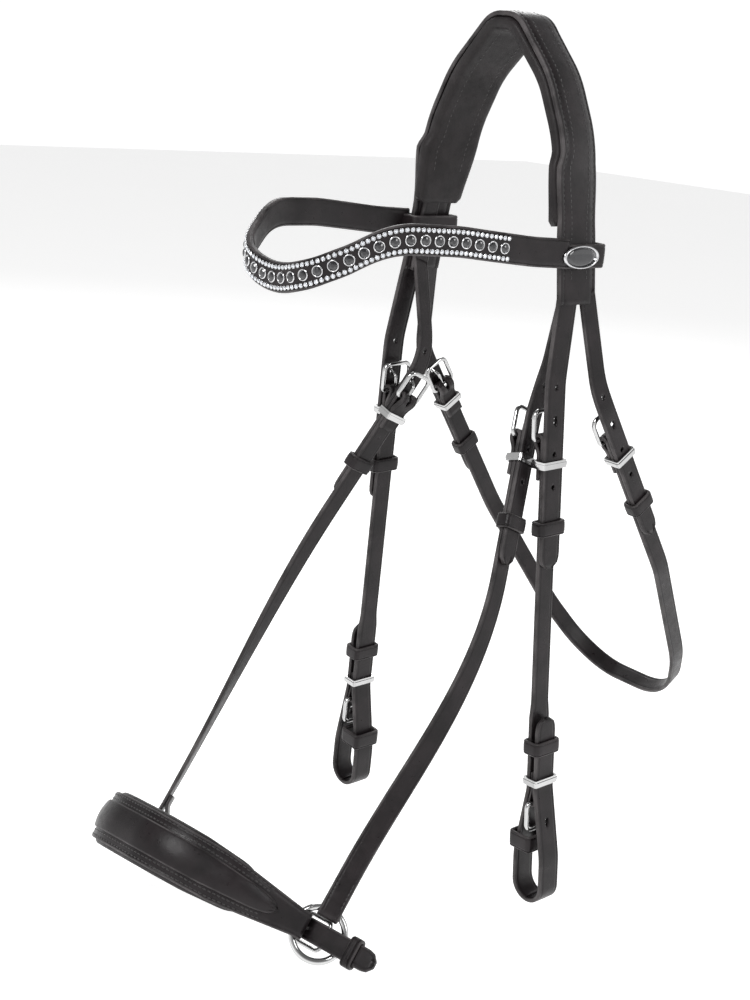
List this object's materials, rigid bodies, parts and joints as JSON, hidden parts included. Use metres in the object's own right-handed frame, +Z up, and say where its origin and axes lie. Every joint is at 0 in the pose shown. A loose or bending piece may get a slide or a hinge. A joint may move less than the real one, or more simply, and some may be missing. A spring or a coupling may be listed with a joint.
{
  "type": "snaffle bridle",
  "caption": "Leather snaffle bridle with a crystal browband, a padded drop-ring noseband, throatlatch, and buckled cheekpieces that end in open bit loops.",
  "frame": {"origin": "underside of the headpiece padding at the poll, where the bridle hangs", "axes": "+Z up, -Y forwards to the horse's nose, +X to the horse's near (left) side"},
  "size_m": [0.2314, 0.4443, 0.5518],
  "materials": {
    "black_leather": "satin",
    "padding_leather": "soft matt",
    "polished_steel": "polished",
    "black_stone": "glossy, faceted",
    "crystal": "faceted, silver-backed",
    "badge_metal": "polished rim round a black plate"
  },
  "bodies": {
    "bridle": {"bit_buckle_near": "polished_steel", "bit_buckle_off": "polished_steel", "bit_chape_near": "black_leather", "bit_chape_off": "black_leather", "bit_runner_near": "black_leather", "bit_runner_off": "black_leather", "browband": "black_leather", "browband_chains": "crystal", "browband_stones": "black_stone", "cheek_buckle_near": "polished_steel", "cheek_buckle_off": "polished_steel", "cheek_strap_near": "black_leather", "cheek_strap_off": "black_leather", "chin_buckle": "polished_steel", "chin_chape": "black_leather", "chin_strap": "black_leather", "head_padding": "padding_leather", "headpiece": "black_leather", "loop_badge": "badge_metal", "noseband_buckle_near": "polished_steel", "noseband_buckle_off": "polished_steel", "noseband_headstrap": "black_leather", "noseband_strap_near": "black_leather", "noseband_strap_off": "black_leather", "nosepiece": "black_leather", "nosepiece_padding": "padding_leather", "nosepiece_panel": "black_leather", "nosepiece_rivets": "polished_steel", "throat_buckle_near": "polished_steel", "throat_buckle_off": "polished_steel", "throatlatch": "black_leather"},
    "bit_leather_keeper_near": {"bit_leather_keeper_near": "black_leather"},
    "bit_leather_keeper_off": {"bit_leather_keeper_off": "black_leather"},
    "bit_metal_keeper_near": {"bit_metal_keeper_near": "polished_steel"},
    "bit_metal_keeper_off": {"bit_metal_keeper_off": "polished_steel"},
    "bit_tongue_near": {"bit_tongue_near": "polished_steel"},
    "bit_tongue_off": {"bit_tongue_off": "polished_steel"},
    "cheek_leather_keeper_near": {"cheek_leather_keeper_near": "black_leather"},
    "cheek_leather_keeper_off": {"cheek_leather_keeper_off": "black_leather"},
    "cheek_metal_keeper_near": {"cheek_metal_keeper_near": "polished_steel"},
    "cheek_metal_keeper_off": {"cheek_metal_keeper_off": "polished_steel"},
    "cheek_tongue_near": {"cheek_tongue_near": "polished_steel"},
    "cheek_tongue_off": {"cheek_tongue_off": "polished_steel"},
    "chin_leather_keeper": {"chin_leather_keeper": "black_leather"},
    "chin_tongue": {"chin_tongue": "polished_steel"},
    "noseband_leather_keeper_near": {"noseband_leather_keeper_near": "black_leather"},
    "noseband_leather_keeper_off": {"noseband_leather_keeper_off": "black_leather"},
    "noseband_metal_keeper_near": {"noseband_metal_keeper_near": "polished_steel"},
    "noseband_metal_keeper_off": {"noseband_metal_keeper_off": "polished_steel"},
    "noseband_ring_near": {"noseband_ring_near": "polished_steel"},
    "noseband_ring_off": {"noseband_ring_off": "polished_steel"},
    "noseband_tongue_near": {"noseband_tongue_near": "polished_steel"},
    "noseband_tongue_off": {"noseband_tongue_off": "polished_steel"},
    "throat_leather_keeper_near": {"throat_leather_keeper_near": "black_leather"},
    "throat_leather_keeper_off": {"throat_leather_keeper_off": "black_leather"},
    "throat_metal_keeper_near": {"throat_metal_keeper_near": "polished_steel"},
    "throat_metal_keeper_off": {"throat_metal_keeper_off": "polished_steel"},
    "throat_tongue_near": {"throat_tongue_near": "polished_steel"},
    "throat_tongue_off": {"throat_tongue_off": "polished_steel"}
  },
  "joints": [
    {"name": "cheek_tongue_hinge_near", "type": "hinge", "parent": "bridle", "child": "cheek_tongue_near", "pos_m": [0.07011, -0.01229, -0.2302], "axis": [0, -0.9993, -0.0362], "range_deg": [0, 45]},
    {"name": "cheek_tongue_hinge_off", "type": "hinge", "parent": "bridle", "child": "cheek_tongue_off", "pos_m": [-0.07011, -0.01229, -0.2302], "axis": [0, 0.9993, 0.0362], "range_deg": [0, 45]},
    {"name": "cheek_metal_keeper_slide_near", "type": "slide", "parent": "bridle", "child": "cheek_metal_keeper_near", "axis": [-0.0675, -0.0361, 0.9971], "range_m": [-0.006, 0.0015]},
    {"name": "cheek_metal_keeper_slide_off", "type": "slide", "parent": "bridle", "child": "cheek_metal_keeper_off", "axis": [0.0675, -0.0361, 0.9971], "range_m": [-0.006, 0.0015]},
    {"name": "cheek_leather_keeper_slide_near", "type": "slide", "parent": "bridle", "child": "cheek_leather_keeper_near", "axis": [-0.0675, -0.0361, 0.9971], "range_m": [-0.01, 0.01]},
    {"name": "cheek_leather_keeper_slide_off", "type": "slide", "parent": "bridle", "child": "cheek_leather_keeper_off", "axis": [0.0675, -0.0361, 0.9971], "range_m": [-0.01, 0.01]},
    {"name": "noseband_tongue_hinge_near", "type": "hinge", "parent": "bridle", "child": "noseband_tongue_near", "pos_m": [0.05361, -0.01613, -0.23294], "axis": [0, -0.915, 0.4035], "range_deg": [0, 75]},
    {"name": "noseband_tongue_hinge_off", "type": "hinge", "parent": "bridle", "child": "noseband_tongue_off", "pos_m": [-0.05361, -0.01613, -0.23294], "axis": [0, 0.915, -0.4035], "range_deg": [0, 75]},
    {"name": "noseband_metal_keeper_slide_near", "type": "slide", "parent": "bridle", "child": "noseband_metal_keeper_near", "axis": [-0.2711, 0.3884, 0.8807], "range_m": [-0.006, 0.0015]},
    {"name": "noseband_metal_keeper_slide_off", "type": "slide", "parent": "bridle", "child": "noseband_metal_keeper_off", "axis": [0.2711, 0.3884, 0.8807], "range_m": [-0.006, 0.0015]},
    {"name": "noseband_leather_keeper_slide_near", "type": "slide", "parent": "bridle", "child": "noseband_leather_keeper_near", "axis": [-0.2711, 0.3884, 0.8807], "range_m": [-0.01, 0.01]},
    {"name": "noseband_leather_keeper_slide_off", "type": "slide", "parent": "bridle", "child": "noseband_leather_keeper_off", "axis": [0.2711, 0.3884, 0.8807], "range_m": [-0.01, 0.01]},
    {"name": "throat_tongue_hinge_near", "type": "hinge", "parent": "bridle", "child": "throat_tongue_near", "pos_m": [0.0765, 0.0367, -0.2318], "axis": [0, -0.829, -0.5592], "range_deg": [0, 75]},
    {"name": "throat_tongue_hinge_off", "type": "hinge", "parent": "bridle", "child": "throat_tongue_off", "pos_m": [-0.0765, 0.0367, -0.2318], "axis": [0, 0.829, 0.5592], "range_deg": [0, 75]},
    {"name": "throat_metal_keeper_slide_near", "type": "slide", "parent": "bridle", "child": "throat_metal_keeper_near", "axis": [0, -0.5592, 0.829], "range_m": [-0.006, 0.0015]},
    {"name": "throat_metal_keeper_slide_off", "type": "slide", "parent": "bridle", "child": "throat_metal_keeper_off", "axis": [0, -0.5592, 0.829], "range_m": [-0.006, 0.0015]},
    {"name": "throat_leather_keeper_slide_near", "type": "slide", "parent": "bridle", "child": "throat_leather_keeper_near", "axis": [0, -0.5592, 0.829], "range_m": [-0.01, 0.01]},
    {"name": "throat_leather_keeper_slide_off", "type": "slide", "parent": "bridle", "child": "throat_leather_keeper_off", "axis": [0, -0.5592, 0.829], "range_m": [-0.01, 0.01]},
    {"name": "bit_tongue_hinge_near", "type": "hinge", "parent": "bridle", "child": "bit_tongue_near", "pos_m": [0.09134, -0.00401, -0.45881], "axis": [0, 0.9993, 0.0362], "range_deg": [0, 25]},
    {"name": "bit_tongue_hinge_off", "type": "hinge", "parent": "bridle", "child": "bit_tongue_off", "pos_m": [-0.09134, -0.00401, -0.45881], "axis": [0, -0.9993, -0.0362], "range_deg": [0, 25]},
    {"name": "bit_metal_keeper_slide_near", "type": "slide", "parent": "bridle", "child": "bit_metal_keeper_near", "axis": [-0.0675, -0.0361, 0.9971], "range_m": [0, 0.008]},
    {"name": "bit_metal_keeper_slide_off", "type": "slide", "parent": "bridle", "child": "bit_metal_keeper_off", "axis": [0.0675, -0.0361, 0.9971], "range_m": [0, 0.008]},
    {"name": "bit_leather_keeper_slide_near", "type": "slide", "parent": "bridle", "child": "bit_leather_keeper_near", "axis": [-0.0675, -0.0361, 0.9971], "range_m": [-0.006, 0.006]},
    {"name": "bit_leather_keeper_slide_off", "type": "slide", "parent": "bridle", "child": "bit_leather_keeper_off", "axis": [0.0675, -0.0361, 0.9971], "range_m": [-0.006, 0.006]},
    {"name": "chin_tongue_hinge", "type": "hinge", "parent": "bridle", "child": "chin_tongue", "pos_m": [0.08613, -0.16455, -0.5069], "axis": [0.1132, -0.6304, -0.7679], "range_deg": [0, 60]},
    {"name": "chin_leather_keeper_slide", "type": "slide", "parent": "bridle", "child": "chin_leather_keeper", "axis": [-0.9645, -0.2553, 0.0674], "range_m": [-0.005, 0]},
    {"name": "ring_spin_near", "type": "hinge", "parent": "bridle", "child": "noseband_ring_near", "pos_m": [0.0868, -0.1704, -0.502], "axis": [0.6872, -0.5085, 0.5188], "continuous": true},
    {"name": "ring_spin_off", "type": "hinge", "parent": "bridle", "child": "noseband_ring_off", "pos_m": [-0.088, -0.175, -0.524], "axis": [-0.767, -0.5468, 0.3358], "continuous": true}
  ]
}
